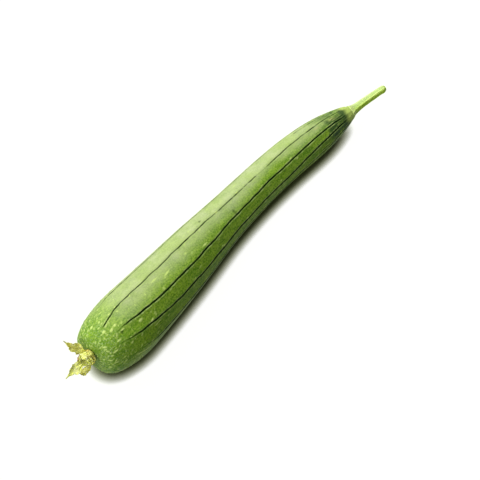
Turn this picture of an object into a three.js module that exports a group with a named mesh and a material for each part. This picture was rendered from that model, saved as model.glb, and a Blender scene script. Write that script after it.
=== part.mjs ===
// Sponge gourd, picked with a cut stem and its withered flower still on, lying on its side.
// Millimetres, +Z up. The blossom end points to -X and the cut stem to +X. Thirteen pieces:
// the fruit, the stem, the cup that the flower sat in, five sepals and five shrivelled petals.
import * as THREE from 'three';

// --- Driving dimensions -------------------------------------------------------------------
const GAP = 0.3; // clear space between two pieces that touch
const SETTLE = 0.5; // how far the soft underside gives where it bears on the ground

// The fruit's axis from the blossom end to the stem, a gentle bow towards +Y. Its height
// falls with the girth, so the underside bears on the ground along the body and at the neck.
const FRUIT_AXIS = [
  [-199, -1, 34.2],
  [-100, 3.7, 29.8],
  [0, 11.4, 23.9],
  [100, 12.5, 20.2],
  [200, 0.5, 20.2],
];
// Girth of the fruit: radius, then distance from the blossom end along the axis.
const FRUIT_GIRTH = [
  [8, 0],
  [16.2, 0.9],
  [22.4, 3.8],
  [26.4, 11],
  [30.2, 24],
  [32.6, 44],
  [31.8, 69],
  [30, 104],
  [27.2, 149],
  [23.3, 199],
  [21.5, 249],
  [20.8, 295],
  [19.9, 333],
  [17.8, 359],
  [14.4, 378],
  [11.5, 391],
  [8.6, 400],
];
const ROWS_PER_STEP = 3; // rings of faces between two neighbouring stations of the girth

// Ten veins run the length of the rind. Their angles go round the axis from +Y towards +Z.
const VEINS = [2, 47, 87, 127, 157, 187, 222, 252, 287, 327];
const COLUMNS_PER_RIB = 6;
const RIB_FLATNESS = 0.022; // how far the rind falls back between two veins, as a share of radius
const RIB_FADE = 45; // the ribs rise from nothing over this length at the blossom end

// Stem: radius and distance along it, and where its axis goes from the end of the fruit.
const STEM_GIRTH = [
  [8, 0],
  [6.9, 2.2],
  [5.5, 6.5],
  [4.6, 14],
  [4.2, 28],
  [4.2, 43],
  [4.4, 48.2],
  [4.1, 50.8],
  [3.1, 51.8],
];
const STEM_BEND = [
  [17, -3.1, 1.4],
  [34, -7.6, 4],
  [49.2, -12.9, 7.5],
];
const STEM_LEAD = 6; // it leaves the fruit straight over this length
const STEM_RIDGES = 5;
const STEM_RIDGE_HEIGHT = 0.05; // share of the radius
const STEM_ROWS_PER_STEP = 2;
const STEM_COLUMNS = 30;

// Flower cup, in the flower's own frame: radius, then distance out from the fruit.
const CUP = [
  [0, 0],
  [5.2, 0],
  [6.1, 1.4],
  [5.9, 3],
  [5.2, 3.6],
  [4.5, 3],
  [3, 2.2],
  [0, 2],
];
const CUP_COLUMNS = 30;

// Leaf-like pieces of the flower: angle round it, greatest width, twist of the blade once it
// is clear of its root, and its route as [distance from the flower's axis, distance out].
const SEPALS = [
  { angle: 40, width: 9.6, twist: 78, route: [[6.8, 1.6], [10, 5.6], [17.3, 9.8], [25.6, 12.4]] },
  { angle: 112, width: 6.8, twist: 0, route: [[6.8, 1.6], [7.9, 4.2], [7.8, 6.4], [6.8, 8.4]] },
  { angle: 184, width: 6, twist: -18, route: [[6.8, 1.6], [8, 4.4], [8.3, 6.6], [7.9, 8.8]] },
  { angle: 262, width: 7.5, twist: -12, route: [[6.8, 1.6], [9.4, 5.4], [11.5, 9.8], [12.4, 16]] },
  { angle: 328, width: 6.5, twist: -15, route: [[6.8, 1.6], [9.7, 4.2], [9.6, 7.8], [7.8, 11.4]] },
];
const SEPAL_THICKNESS = 0.8;

// One petal stayed long; the other four shrivelled to a bud over the cup on one route.
const LONG_PETAL = { angle: 292, width: 7.6, twist: 0, route: [[5.1, 4.3], [5.2, 9], [2.4, 17], [0.6, 32]] };
const BUD_ROUTE = [[5.1, 4.3], [6, 6.2], [5.1, 8.2], [2.6, 9.2]];
const BUD_PETALS = [
  { angle: 4, stretch: 1 },
  { angle: 76, stretch: 1.06 },
  { angle: 148, stretch: 0.96 },
  { angle: 220, stretch: 1.03 },
];
const BUD_PETAL_SPAN = 64; // degrees of the ring that one petal of the bud fills
const PETAL_THICKNESS = 0.9;

const BLADE_STEPS = 10;
const BLADE_COLUMNS = 4;
const BLADE_TWISTED_BY = 0.4; // share of a blade's length over which it takes its twist
const BLADE_BROADEST_AT = 0.25; // share of its length at which it is broadest
const BLADE_NARROWING = 0.93; // share of its width that it has lost at its tip

// The flower sits above the middle of the blunt end: its shift towards +Y and +Z.
const FLOWER_SHIFT = [1.8, 5.2];

// --- Materials ----------------------------------------------------------------------------
const RIND = new THREE.MeshStandardMaterial({ color: 0x83a746, roughness: 0.45, metalness: 0 });
const STEM = new THREE.MeshStandardMaterial({ color: 0xa4c24c, roughness: 0.5, metalness: 0 });
const SEPAL = new THREE.MeshStandardMaterial({ color: 0xc3b664, roughness: 0.8, metalness: 0 });
const PETAL = new THREE.MeshStandardMaterial({ color: 0xe2df8c, roughness: 0.8, metalness: 0 });

// --- Shared geometry ----------------------------------------------------------------------
const UP = new THREE.Vector3(0, 0, 1);
const smoothstep = THREE.MathUtils.smoothstep;
const radians = THREE.MathUtils.degToRad;

/** A smooth curve through a few places, [x, y, z] or [x, y]. */
function curveThrough(places) {
  return new THREE.CatmullRomCurve3(places.map(([x, y, z = 0]) => new THREE.Vector3(x, y, z)));
}

/** Calls change(vertex) for each vertex, which moves it in place. */
function reshape(geometry, change) {
  const position = geometry.getAttribute('position');
  const vertex = new THREE.Vector3();
  for (let i = 0; i < position.count; i += 1) {
    vertex.fromBufferAttribute(position, i);
    change(vertex);
    position.setXYZ(i, vertex.x, vertex.y, vertex.z);
  }
  geometry.computeVertexNormals();
  return geometry;
}

/** A turned body with a smooth outline and flat ends, its axis on +Y. */
function turned(girth, rows, columns) {
  const outline = curveThrough(girth).getPoints(rows);
  const first = new THREE.Vector2(0, outline[0].y);
  const last = new THREE.Vector2(0, outline.at(-1).y);
  const side = outline.map((point) => new THREE.Vector2(point.x, point.y));
  return new THREE.LatheGeometry([first, ...side, last], columns);
}

/** Lays a body with its axis on +Y along a curve; its angle 0 turns to the curve's +Y side. */
function bendAlong(geometry, curve) {
  const length = curve.getLength();
  reshape(geometry, (vertex) => {
    const along = THREE.MathUtils.clamp(vertex.y / length, 0, 1);
    const tangent = curve.getTangentAt(along);
    const side = new THREE.Vector3().crossVectors(UP, tangent).normalize();
    const top = new THREE.Vector3().crossVectors(tangent, side);
    const centre = curve.getPointAt(along);
    const [across, above] = [vertex.z, vertex.x];
    vertex.copy(centre).addScaledVector(side, across).addScaledVector(top, above);
  });
  return geometry;
}

function piece(name, geometry, material) {
  const mesh = new THREE.Mesh(geometry, material);
  mesh.name = name;
  return mesh;
}

// --- Fruit --------------------------------------------------------------------------------
/** Share of the way, 0 to 1, from one vein to the next at an angle round the axis. */
function acrossRib(angle) {
  const next = VEINS.findIndex((vein) => vein > angle);
  const after = next === -1 ? VEINS[0] + 360 : VEINS[next];
  const before = next > 0 ? VEINS[next - 1] : VEINS.at(-1) - (next === 0 ? 360 : 0);
  return (angle - before) / (after - before);
}

/** Angles of the columns of faces: every vein, and evenly spaced ones between veins. */
function columnAngle(column) {
  const rib = Math.floor(column / COLUMNS_PER_RIB) % VEINS.length;
  const start = VEINS[rib];
  const end = rib + 1 < VEINS.length ? VEINS[rib + 1] : VEINS[0] + 360;
  return start + ((end - start) * (column % COLUMNS_PER_RIB)) / COLUMNS_PER_RIB;
}

function makeFruit(axis) {
  const rows = (FRUIT_GIRTH.length - 1) * ROWS_PER_STEP;
  const columns = VEINS.length * COLUMNS_PER_RIB;
  const geometry = turned(FRUIT_GIRTH, rows, columns);
  reshape(geometry, (vertex) => {
    const radius = Math.hypot(vertex.x, vertex.z);
    const even = (Math.atan2(vertex.x, vertex.z) / (2 * Math.PI)) * columns;
    const angle = columnAngle((Math.round(even) + columns) % columns);
    const rib = smoothstep(vertex.y, 0, RIB_FADE) * Math.sin(Math.PI * acrossRib(angle % 360));
    const girth = radius * (1 - RIB_FLATNESS * rib);
    vertex.x = girth * Math.sin(radians(angle));
    vertex.z = girth * Math.cos(radians(angle));
  });
  bendAlong(geometry, axis);
  const ground = lowestPoint(geometry) + SETTLE;
  reshape(geometry, (vertex) => {
    vertex.z = Math.max(vertex.z, ground);
  });
  return piece('fruit', geometry, RIND);
}

function lowestPoint(geometry) {
  geometry.computeBoundingBox();
  return geometry.boundingBox.min.z;
}

// --- Stem ---------------------------------------------------------------------------------
function makeStem(fruitAxis) {
  const end = fruitAxis.getPointAt(1).addScaledVector(fruitAxis.getTangentAt(1), GAP);
  const bend = STEM_BEND.map((step) => new THREE.Vector3(...step).add(end));
  const lead = end.clone().addScaledVector(fruitAxis.getTangentAt(1), STEM_LEAD);
  const axis = new THREE.CatmullRomCurve3([end, lead, ...bend]);
  const rows = (STEM_GIRTH.length - 1) * STEM_ROWS_PER_STEP;
  const geometry = turned(STEM_GIRTH, rows, STEM_COLUMNS);
  reshape(geometry, (vertex) => {
    const angle = Math.atan2(vertex.x, vertex.z);
    const ridge = 1 + STEM_RIDGE_HEIGHT * Math.cos(STEM_RIDGES * angle);
    vertex.x *= ridge;
    vertex.z *= ridge;
  });
  return piece('stem', bendAlong(geometry, axis), STEM);
}

// --- Flower -------------------------------------------------------------------------------
/** A thin blade on +X, root at 0, shaped by width(t) and laid by place(t, across, through). */
function blade(width, thickness, place) {
  const geometry = new THREE.BoxGeometry(1, 1, 1, BLADE_STEPS, BLADE_COLUMNS, 1);
  return reshape(geometry, (vertex) => {
    const t = vertex.x + 0.5;
    place(vertex, t, vertex.y * width(t), vertex.z * thickness);
  });
}

/** Width of a leaf-like blade at t along it, as a share of its greatest: broad, then pointed. */
function leafWidth(t) {
  const swell = (1 + Math.sin(Math.PI * Math.min(1, 0.5 - BLADE_BROADEST_AT + t))) / 2;
  return swell * (1 - BLADE_NARROWING * t * t);
}

function makeLeaf(name, { angle, width, twist, route }, thickness, material) {
  const curve = curveThrough(route);
  const geometry = blade((t) => width * leafWidth(t), thickness, (vertex, t, across, through) => {
    const centre = curve.getPointAt(t);
    const tangent = curve.getTangentAt(t);
    const turn = radians(twist) * smoothstep(t, 0, BLADE_TWISTED_BY);
    const flat = across * Math.cos(turn) - through * Math.sin(turn);
    const thick = across * Math.sin(turn) + through * Math.cos(turn);
    vertex.set(centre.x + thick * tangent.y, centre.y - thick * tangent.x, flat);
  });
  const leaf = piece(name, geometry, material);
  leaf.rotation.y = radians(90 - angle);
  return leaf;
}

function makeBudPetal(name, { angle, stretch }) {
  const curve = curveThrough(BUD_ROUTE);
  const span = () => radians(BUD_PETAL_SPAN);
  const geometry = blade(span, PETAL_THICKNESS, (vertex, t, turn, through) => {
    const centre = curve.getPointAt(t);
    const tangent = curve.getTangentAt(t);
    const radius = centre.x + through * tangent.y;
    const out = (centre.y - through * tangent.x) * stretch;
    vertex.set(radius * Math.cos(turn), out, radius * Math.sin(turn));
  });
  const petal = piece(name, geometry, PETAL);
  petal.rotation.y = radians(90 - angle);
  return petal;
}

function makeFlower(fruitAxis) {
  const flower = new THREE.Group();
  const outward = fruitAxis.getTangentAt(0).negate();
  const cup = new THREE.LatheGeometry(CUP.map(([x, y]) => new THREE.Vector2(x, y)), CUP_COLUMNS);
  flower.add(piece('calyx_cup', cup, SEPAL));
  SEPALS.forEach((sepal, i) => {
    flower.add(makeLeaf(`sepal_${i + 1}`, sepal, SEPAL_THICKNESS, SEPAL));
  });
  BUD_PETALS.forEach((petal, i) => {
    flower.add(makeBudPetal(`petal_${i + 1}`, petal));
  });
  flower.add(makeLeaf(`petal_${BUD_PETALS.length + 1}`, LONG_PETAL, PETAL_THICKNESS, PETAL));
  flower.quaternion.setFromRotationMatrix(flowerFrame(outward));
  const shift = new THREE.Vector3(0, ...FLOWER_SHIFT);
  flower.position.copy(fruitAxis.getPointAt(0)).addScaledVector(outward, GAP).add(shift);
  return flower;
}

/** The flower's frame: its +Y is out of the fruit, and its angles go from +Y towards +Z. */
function flowerFrame(outward) {
  const side = new THREE.Vector3().crossVectors(outward, UP).normalize();
  const top = new THREE.Vector3().crossVectors(side, outward);
  return new THREE.Matrix4().makeBasis(top, outward, side.negate());
}

// --- Assembly -----------------------------------------------------------------------------
const fruitAxis = curveThrough(FRUIT_AXIS);
const gourd = new THREE.Group();
gourd.add(makeFruit(fruitAxis), makeStem(fruitAxis), makeFlower(fruitAxis));

// The part's origin is the middle of the ground under it.
gourd.updateMatrixWorld(true);
const bounds = new THREE.Box3().setFromObject(gourd, true);
const middle = bounds.getCenter(new THREE.Vector3());
gourd.position.set(-middle.x, -middle.y, -bounds.min.z);

const part = new THREE.Group();
part.add(gourd);
part.name = 'sponge_gourd';

export default part;
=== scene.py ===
"""Sponge gourd, picked with its stem and its withered flower, lying on its side.

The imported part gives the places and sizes. The rind, the stem and each dried sepal and petal are
modelled here, and each stands for the node of the same piece. Metres, +Z up, blossom end at -X.
"""

import math
import random

import bpy
import numpy as np
from mathutils import Matrix, Vector, kdtree, noise
from mathutils.bvhtree import BVHTree


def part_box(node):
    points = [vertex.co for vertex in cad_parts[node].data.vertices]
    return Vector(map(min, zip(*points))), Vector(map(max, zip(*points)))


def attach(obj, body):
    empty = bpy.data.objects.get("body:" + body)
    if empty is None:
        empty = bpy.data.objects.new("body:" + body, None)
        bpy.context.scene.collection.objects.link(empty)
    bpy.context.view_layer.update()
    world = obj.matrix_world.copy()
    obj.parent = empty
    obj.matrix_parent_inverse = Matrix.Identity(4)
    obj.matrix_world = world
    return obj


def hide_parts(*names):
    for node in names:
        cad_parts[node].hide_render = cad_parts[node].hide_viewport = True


MM = 0.001
UP = Vector((0.0, 0.0, 1.0))

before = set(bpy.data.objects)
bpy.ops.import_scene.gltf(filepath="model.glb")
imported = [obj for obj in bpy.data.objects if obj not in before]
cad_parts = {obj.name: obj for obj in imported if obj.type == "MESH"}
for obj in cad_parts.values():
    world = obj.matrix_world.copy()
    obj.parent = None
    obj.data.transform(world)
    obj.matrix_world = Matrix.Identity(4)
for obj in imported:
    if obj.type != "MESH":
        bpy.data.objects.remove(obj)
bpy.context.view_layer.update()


# --- Working by hand ---
def deselect():
    """Leaves nothing selected, so that the next operator acts only on what it is given."""
    bpy.ops.object.select_all(action="DESELECT")


def name_piece(name):
    """Names the primitive that was just added."""
    piece = bpy.context.active_object
    piece.name = name
    piece.data.name = name
    return piece


def add_circle(name, columns, radius, place, rotation, fill="NOTHING"):
    deselect()
    bpy.ops.mesh.primitive_circle_add(
        vertices=columns, radius=radius, fill_type=fill, location=place, rotation=rotation
    )
    bpy.ops.object.transform_apply(location=True, rotation=True, scale=True)
    return name_piece(name)


def activate(piece):
    deselect()
    piece.select_set(True)
    bpy.context.view_layer.objects.active = piece


def enter_edit(piece, kind="VERT", action="DESELECT"):
    """Opens a piece in edit mode, with nothing selected unless the action is SELECT."""
    activate(piece)
    bpy.ops.object.mode_set(mode="EDIT")
    bpy.ops.mesh.select_mode(type=kind)
    bpy.ops.mesh.select_all(action=action)


def leave_edit():
    bpy.ops.object.mode_set(mode="OBJECT")


def select_vertices(piece, wanted):
    """Opens a piece in edit mode with these vertices selected."""
    enter_edit(piece)
    leave_edit()
    for i in wanted:
        piece.data.vertices[i].select = True
    bpy.ops.object.mode_set(mode="EDIT")


def face_outward(piece):
    enter_edit(piece, action="SELECT")
    bpy.ops.mesh.normals_make_consistent(inside=False)
    leave_edit()


def extrude(shift, grow, centre):
    """Extrudes what is selected by a shift, then resizes the new edge about a centre."""
    bpy.ops.mesh.extrude_region_move(TRANSFORM_OT_translate={"value": shift})
    bpy.ops.transform.resize(value=grow, center_override=centre)


def shade_smooth(piece):
    activate(piece)
    bpy.ops.object.shade_smooth()


def apply_modifier(piece, kind, **settings):
    activate(piece)
    modifier = piece.modifiers.new(kind.title(), kind)
    for key, value in settings.items():
        setattr(modifier, key, value)
    bpy.ops.object.modifier_apply(modifier=modifier.name)


def subdivide_smooth(piece, levels):
    apply_modifier(piece, "SUBSURF", levels=levels, render_levels=levels)


def set_mask(piece, name, values):
    """Keeps one number per vertex, which the materials read by its name."""
    attribute = piece.data.attributes.new(name, "FLOAT", "POINT")
    attribute.data.foreach_set("value", np.asarray(values, np.float32))


def read_vertices(piece, field="co"):
    values = np.empty(len(piece.data.vertices) * 3)
    piece.data.vertices.foreach_get(field, values)
    return values.reshape(-1, 3)


def write_vertices(piece, places):
    piece.data.vertices.foreach_set("co", places.ravel())
    piece.data.update()


def smoothstep(low, high, value):
    t = np.clip((value - low) / (high - low), 0.0, 1.0)
    return t * t * (3.0 - 2.0 * t)


def noise_at(places):
    """Smooth random values, mostly between -0.5 and 0.5."""
    return np.array([noise.noise(Vector(place)) for place in places])


def wander(places, wavelength, seed):
    """Smooth random values between about -1 and 1 along a line."""
    return noise_at((place / wavelength, seed, 0.5 * seed) for place in places) * 2.0


# --- The axis of the fruit and of the stem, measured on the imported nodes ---
RAYS = 40  # cast round the axis to find the middle and the radius
PASSES = 3  # each place on the axis is corrected this often
JUST_INSIDE = 0.02 * MM  # rays start at least this far from the two ends


class Axis:
    """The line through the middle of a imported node, from its end at -X to its end at +X."""

    def __init__(self, node, clear=14 * MM, steps=80):
        """Looks for the middle at a number of steps, clear of both ends."""
        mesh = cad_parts[node].data
        self.skin = BVHTree.FromPolygons([v.co for v in mesh.vertices], [p.vertices for p in mesh.polygons])
        low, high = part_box(node)
        centre = 0.5 * (low + high)
        middles = []
        for x in np.linspace(low.x + clear, high.x - clear, steps):
            for _ in range(PASSES):
                centre = self.middle(Vector((x, centre.y, centre.z)), Vector((1.0, 0.0, 0.0)))
            middles.append(centre)
        tip = self.skin.ray_cast(middles[0], middles[0] - middles[3])[0]
        shoulder = self.skin.ray_cast(middles[-1], middles[-1] - middles[-4])[0]
        self.points = np.array([tip, *middles, shoulder])
        gaps = np.linalg.norm(np.diff(self.points, axis=0), axis=1)
        self.along = np.concatenate([[0.0], np.cumsum(gaps)])
        self.length = self.along[-1]

    def directions(self, tangent):
        side = UP.cross(tangent).normalized()
        top = tangent.cross(side)
        for ray in range(RAYS):
            angle = 2.0 * math.pi * ray / RAYS
            yield side * math.cos(angle) + top * math.sin(angle)

    def hits(self, start, tangent, field):
        """One field of what each ray hits: its place is 0 and its distance is 3."""
        return [self.skin.ray_cast(start, way)[field] for way in self.directions(tangent)]

    def middle(self, start, tangent):
        """Centre of the skin's outline in the plane across the tangent."""
        hits = self.hits(start, tangent, 0)
        return sum(hits, Vector()) / len(hits)

    def point(self, along):
        """Places on the axis at these distances from its start."""
        return np.stack([np.interp(along, self.along, self.points[:, i]) for i in range(3)], axis=-1)

    def tangent(self, along, reach=6 * MM):
        ahead = self.point(np.minimum(along + reach, self.length))
        step = ahead - self.point(np.maximum(along - reach, 0.0))
        return step / np.linalg.norm(step, axis=-1, keepdims=True)

    def inside(self, along):
        """The same distance along the axis, but never at its very ends."""
        return min(max(along, JUST_INSIDE), self.length - JUST_INSIDE)

    def radius(self, along):
        """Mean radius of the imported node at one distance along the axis."""
        inside = self.inside(along)
        hits = self.hits(Vector(self.point(inside)), Vector(self.tangent(inside)), 3)
        hits = [hit for hit in hits if hit is not None]
        return sum(hits) / len(hits)

    def on_skin(self, along, angle):
        """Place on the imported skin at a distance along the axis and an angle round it, in degrees."""
        inside = self.inside(along)
        side, top = self.across(inside)
        way = Vector(side) * math.cos(math.radians(angle)) + Vector(top) * math.sin(math.radians(angle))
        return self.skin.ray_cast(Vector(self.point(inside)), way)[0]

    def locate(self, places):
        """Distance along the axis, angle round it and distance from it, for many places."""
        along = np.interp(places[:, 0], self.points[:, 0], self.along)
        for _ in range(PASSES):
            offset = np.einsum("ij,ij->i", places - self.point(along), self.tangent(along))
            along = np.clip(along + offset, 0.0, self.length)
        out = places - self.point(along)
        side, top = self.across(along)
        flat = np.einsum("ij,ij->i", out, side)
        high = np.einsum("ij,ij->i", out, top)
        return along, np.degrees(np.arctan2(high, flat)) % 360.0, np.hypot(flat, high)

    def off_plane(self, places, along):
        """What is left of each place along the axis, at the flat ends."""
        tangent = self.tangent(along)
        return tangent * np.einsum("ij,ij->i", places - self.point(along), tangent)[:, None]

    def across(self, along):
        """The directions of angle 0 (towards +Y) and of angle 90 (towards +Z)."""
        tangent = self.tangent(along)
        side = np.cross(UP, tangent)
        side /= np.linalg.norm(side, axis=-1, keepdims=True)
        return side, np.cross(tangent, side)


AXIS = Axis("fruit")


def curve_through(points, shares):
    """Places on a smooth curve through a few points, at shares of its length."""
    points = np.array(points, float)
    ends = np.vstack([2 * points[0] - points[1], points, 2 * points[-1] - points[-2]])
    dense = [points[:1]]
    for a, b, c, d in zip(ends, ends[1:], ends[2:], ends[3:]):
        t = np.linspace(0.0, 1.0, 24)[1:, None]
        bend = 2 * a - 5 * b + 4 * c - d
        dense.append(0.5 * (2 * b + (c - a) * t + bend * t * t + (3 * b - a - 3 * c + d) * t ** 3))
    dense = np.vstack(dense)
    run = np.concatenate([[0.0], np.cumsum(np.linalg.norm(np.diff(dense, axis=0), axis=1))])
    wanted = np.clip(shares, 0.0, 1.0) * run[-1]
    return np.stack([np.interp(wanted, run, dense[:, i]) for i in range(points.shape[1])], axis=-1)


# --- Fruit ---
COLUMNS = 72
FIRST_COLUMN = 2  # degrees
VEIN_BAND = 30  # per cent of a column on each side of a vein that gets closer columns
FINE_RINGS = 3.2 * MM  # between rings of the cage round the warty blossom end
WIDE_RINGS = 9.4 * MM  # and along the rest of the fruit
WARTY_LENGTH = 72 * MM

# Veins of the rind. Each has its angle in degrees round the axis from +Y towards +Z, where it starts
# and is at its full strength in mm from the blossom end, its boldness, and how broken it is along
# the neck. Its course is how many degrees it has wandered from its angle, at mm from the blossom end.
VEINS = (
    (2, 30, 55, 0.8, 0.5, ((0, 14), (40, 3), (150, -2), (260, 2), (350, -2))),
    (47, 22, 50, 0.6, 0.5, ((0, 16), (20, 10), (50, 3), (200, 0), (350, 1))),
    (87, 14, 20, 0.66, 0.75,
     ((14, 4), (28, -1), (100, -2), (160, 1), (200, 5), (260, 7), (330, 4), (370, 1))),
    (127, 12, 50, 1.0, 0.0,
     ((14, -13), (34, -11), (60, -4), (100, -1), (160, 3), (280, 3), (320, -2), (350, -7))),
    (157, 10, 48, 1.1, 0.0,
     ((14, -25), (30, -16), (60, -9), (90, -3), (150, 4), (290, 5), (330, -5), (370, -14))),
    (187, 20, 70, 0.9, 0.1, ((0, -26), (30, -18), (60, -8), (120, -3), (280, 3), (350, -6), (380, -16))),
    (222, 30, 60, 0.9, 0.2, ((0, -16), (40, -8), (90, -2), (280, 1), (380, -8))),
    (252, 36, 62, 0.8, 0.4, ((0, -8), (60, 2), (180, -3), (300, 2))),
    (287, 24, 56, 0.9, 0.2, ((0, 3), (80, -3), (220, 3), (380, -4))),
    (327, 32, 54, 0.85, 0.4, ((0, 10), (50, 3), (140, -3), (300, 2), (380, 8))),
)
VEIN_ANGLES = np.array([vein[0] for vein in VEINS], float)
VEIN_ENDS = (376 * MM, 392 * MM)  # they fade out between these near the stem
VEIN_HALF_WIDTH = 0.8 * MM
VEIN_DEPTH = 0.5 * MM
VEIN_WRIGGLES = ((5.5, 0.12), (11, 0.22), (23, 0.26), (61, 0.4))  # length and width of each sway in mm
SWAY_RADIUS = 26 * MM  # of the fruit, where a sway is turned into degrees
COURSE_WINDOW = 41  # stations that a course is averaged over
ON_VEIN = 1.0  # degrees from a vein that still count as on it
CLEAR_OF_ENDS = 0.5 * MM
NECK_VEINS = 14  # short extra veins that run together at the stem


def ring_places():
    """Distances along the axis of the cage's rings, evenly spaced over the skin."""
    samples = np.linspace(0.0, AXIS.length, 1600)
    radii = np.array([AXIS.radius(along) for along in samples])
    skin = np.concatenate([[0.0], np.cumsum(np.hypot(np.diff(samples), np.diff(radii)))])
    fine_skin = np.interp(WARTY_LENGTH, samples, skin)
    fine = np.linspace(0.0, fine_skin, round(fine_skin / FINE_RINGS), endpoint=False)
    wide = np.linspace(fine_skin, skin[-1], round((skin[-1] - fine_skin) / WIDE_RINGS))
    return np.interp(np.concatenate([fine, wide]), skin, samples)


def make_cage(name, axis, rings, columns, first_column=0.0):
    """A circle at the start of an axis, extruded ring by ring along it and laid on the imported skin."""
    radii = [axis.radius(along) for along in rings]
    centres = [Vector(point) for point in axis.point(rings)]
    cage = add_circle(name, columns, radii[0], centres[0], (0.0, math.radians(90), 0.0))
    enter_edit(cage, action="SELECT")
    for i in range(1, len(rings)):
        grow = radii[i] / radii[i - 1]
        extrude(centres[i] - centres[i - 1], (1.0, grow, grow), centres[i])
    leave_edit()
    lay_on_skin(cage, axis, rings, columns, first_column)
    return cage


def lay_on_skin(cage, axis, rings, columns, first_column):
    """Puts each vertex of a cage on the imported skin, on its own ring and in its own column."""
    places = read_vertices(cage)
    angles = axis.locate(places)[1]
    step = 360.0 / columns
    for i, angle in enumerate(angles):
        places[i] = axis.on_skin(rings[i // columns], first_column + step * round(angle / step))
    write_vertices(cage, places)


def close_end(cage, ring, columns, insets=((0.5, 0.0),)):
    """Closes an open end: the edge is drawn in to smaller rings, then to one point.

    Each inset is the share that is left of the ring before it, and how far it moves along +X.
    """
    edge = range(ring * columns, (ring + 1) * columns)
    centre = sum((cage.data.vertices[i].co for i in edge), Vector()) / columns
    select_vertices(cage, edge)
    for share, shift in insets:
        centre = centre + Vector((shift, 0.0, 0.0))
        extrude((shift, 0.0, 0.0), (share, share, share), centre)
    bpy.ops.mesh.extrude_region_move()
    bpy.ops.mesh.merge(type="CENTER")
    leave_edit()


def crowd_columns_at_veins(cage):
    """Splits the column of edges under each vein into three, so that a vein has fine faces."""
    along, angles, _ = AXIS.locate(read_vertices(cage))
    on_vein = np.min(np.abs(angles[:, None] - VEIN_ANGLES[None, :]), axis=1) < ON_VEIN
    on_vein &= (along > CLEAR_OF_ENDS) & (along < AXIS.length - CLEAR_OF_ENDS)
    enter_edit(cage, "EDGE")
    leave_edit()
    for edge in cage.data.edges:
        a, b = edge.vertices
        edge.select = bool(on_vein[a] and on_vein[b] and abs(angles[a] - angles[b]) < ON_VEIN)
    bpy.ops.object.mode_set(mode="EDIT")
    bpy.ops.mesh.bevel(offset_type="PERCENT", offset_pct=VEIN_BAND, segments=2, profile=0.5, affect="EDGES")
    leave_edit()


STATIONS = np.linspace(0.0, 0.42, 840)  # distances from the blossom end at which a vein's course is kept


def turn_between(angles, angle):
    """Degrees from one angle to others, the short way round."""
    return (angles - angle + 180.0) % 360.0 - 180.0


def vein_course(vein, seed):
    """Degrees that a vein has wandered from its own angle at each station."""
    angle, *_, course = vein
    places = [point[0] * MM for point in course]
    wandered = np.interp(STATIONS, places, [point[1] for point in course])
    window = np.ones(COURSE_WINDOW) / COURSE_WINDOW
    wandered = np.convolve(np.pad(wandered, COURSE_WINDOW // 2, "edge"), window, "valid")
    sideways = sum(size * wander(STATIONS, reach * MM, seed + reach) for reach, size in VEIN_WRIGGLES)
    return angle + wandered + np.degrees(sideways * MM / SWAY_RADIUS)


def vein_strength(vein, seed):
    """How strong a vein is at each station, from 0 to a little over 1."""
    _, start, full, boldness, broken, _ = vein
    strength = boldness * smoothstep(start * MM, full * MM, STATIONS)
    strength *= 1.0 - smoothstep(*VEIN_ENDS, STATIONS)
    on_neck = smoothstep(150 * MM, 210 * MM, STATIONS)
    gaps = 0.6 * wander(STATIONS, 6 * MM, seed + 0.3) + 0.8 * wander(STATIONS, 21 * MM, seed + 0.9)
    gaps = smoothstep(-0.1, 0.5, gaps)
    return strength * (1.0 - broken * on_neck * gaps) * (1.0 + 0.2 * wander(STATIONS, 6 * MM, seed + 0.6))


def neck_veins():
    """Short veins on the neck, with their courses and strengths at each station."""
    draw = random.Random(5)
    for i in range(NECK_VEINS):
        start = draw.uniform(300.0, 345.0) * MM
        angle = 360.0 * (i + draw.uniform(0.3, 0.7)) / NECK_VEINS
        course = angle + 1.6 * wander(STATIONS, 14 * MM, 50.0 + i)
        strength = draw.uniform(0.2, 0.7) * smoothstep(start, start + 30 * MM, STATIONS)
        strength *= smoothstep(-0.5, 0.5, wander(STATIONS, 5 * MM, 90.0 + i))
        yield course, strength * (1.0 - smoothstep(388 * MM, 398 * MM, STATIONS)), 0.85


def vein_relief(line, along, turned, radii):
    """How far one vein sinks the rind and raises its lips, and where it is dark, where painted shade lies
    beside it, and where a painted highlight lies on its lips.
    """
    course, strength, width = line
    arc = np.radians(turn_between(turned, np.interp(along, STATIONS, course))) * radii
    away = np.abs(arc)
    bold = np.interp(along, STATIONS, strength)
    flecks = 0.35 + smoothstep(-0.1, 0.4, wander(STATIONS, 4 * MM, course[0]))
    half = VEIN_HALF_WIDTH * width * (0.45 + 0.55 * bold)
    sunk = VEIN_DEPTH * width * bold * np.exp(-((arc / half) ** 2))
    raised = 0.16 * MM * width * bold * np.exp(-(((away - 1.6 * MM) / MM) ** 2))
    dark = np.clip(1.25 * bold, 0.0, 1.0) * smoothstep(1.4, 0.6, away / half)
    shade = bold * np.exp(-((arc / (2.2 * MM)) ** 2))
    lip_highlight = bold * np.interp(along, STATIONS, flecks) * np.exp(-(((away - 1.35 * MM) / (0.45 * MM)) ** 2))
    return sunk, raised, {"vein": dark, "vein_shade": shade, "vein_lip_highlight": lip_highlight}


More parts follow.
